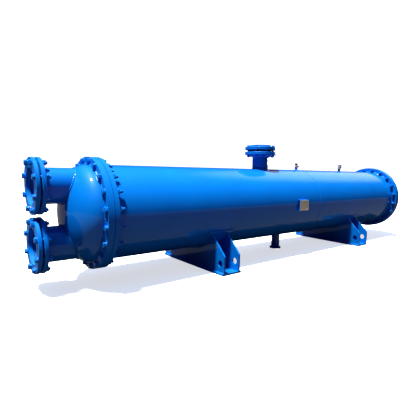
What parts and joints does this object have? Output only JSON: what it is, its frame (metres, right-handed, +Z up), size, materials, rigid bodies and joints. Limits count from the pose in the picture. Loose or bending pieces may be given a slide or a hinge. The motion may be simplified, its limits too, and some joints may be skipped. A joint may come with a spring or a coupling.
{
  "type": "shell and tube heat exchanger",
  "caption": "Horizontal shell and tube heat exchanger on two saddles, with dished ends, flanged water nozzles on one end and a flanged inlet on top.",
  "frame": {"origin": "on the floor, midway along the length and midway between the sides", "axes": "+X from the water nozzles to the return end, +Z up, +Y away from the side with the nameplate"},
  "size_m": [4.096, 0.808, 0.9865],
  "materials": {
    "blue_paint": "glossy blue enamel",
    "gasket": "black compressed fibre",
    "brass": "machined brass",
    "black_knob": "black moulded plastic",
    "dark_metal": "dark bare steel",
    "plate": "blank etched plate with a bright border",
    "plated_metal": "dull plated metal"
  },
  "bodies": {
    "root": {"front_shell_course": "blue_paint", "rear_shell_course": "blue_paint", "girth_weld": "blue_paint", "front_tube_sheet": "blue_paint", "rear_tube_sheet": "blue_paint", "channel_flange": "blue_paint", "return_flange": "blue_paint", "channel_head": "blue_paint", "return_head": "blue_paint", "pass_partition": "blue_paint", "upper_water_companion_flange": "blue_paint", "upper_water_flange": "blue_paint", "upper_water_pipe": "blue_paint", "lower_water_companion_flange": "blue_paint", "lower_water_flange": "blue_paint", "lower_water_pipe": "blue_paint", "inlet_pipe": "blue_paint", "inlet_flange": "blue_paint", "inlet_companion_flange": "blue_paint", "outlet_pipe": "blue_paint", "outlet_collar": "blue_paint", "vent_stub": "blue_paint", "purge_stub": "dark_metal", "nameplate_bracket": "blue_paint", "front_saddle_base": "blue_paint", "front_saddle_near_web": "blue_paint", "front_saddle_far_web": "blue_paint", "rear_saddle_base": "blue_paint", "rear_saddle_near_web": "blue_paint", "rear_saddle_far_web": "blue_paint", "front_body_gasket": "gasket", "rear_body_gasket": "gasket", "upper_water_gasket": "gasket", "lower_water_gasket": "gasket", "inlet_gasket": "gasket", "vent_valve_body": "brass", "vent_valve_outlet": "brass", "vent_valve_knob": "black_knob", "purge_valve_body": "plated_metal", "purge_valve_lever": "black_knob", "nameplate": "plate", "front_saddle_pad": "blue_paint", "rear_saddle_pad": "blue_paint"}
  },
  "joints": []
}
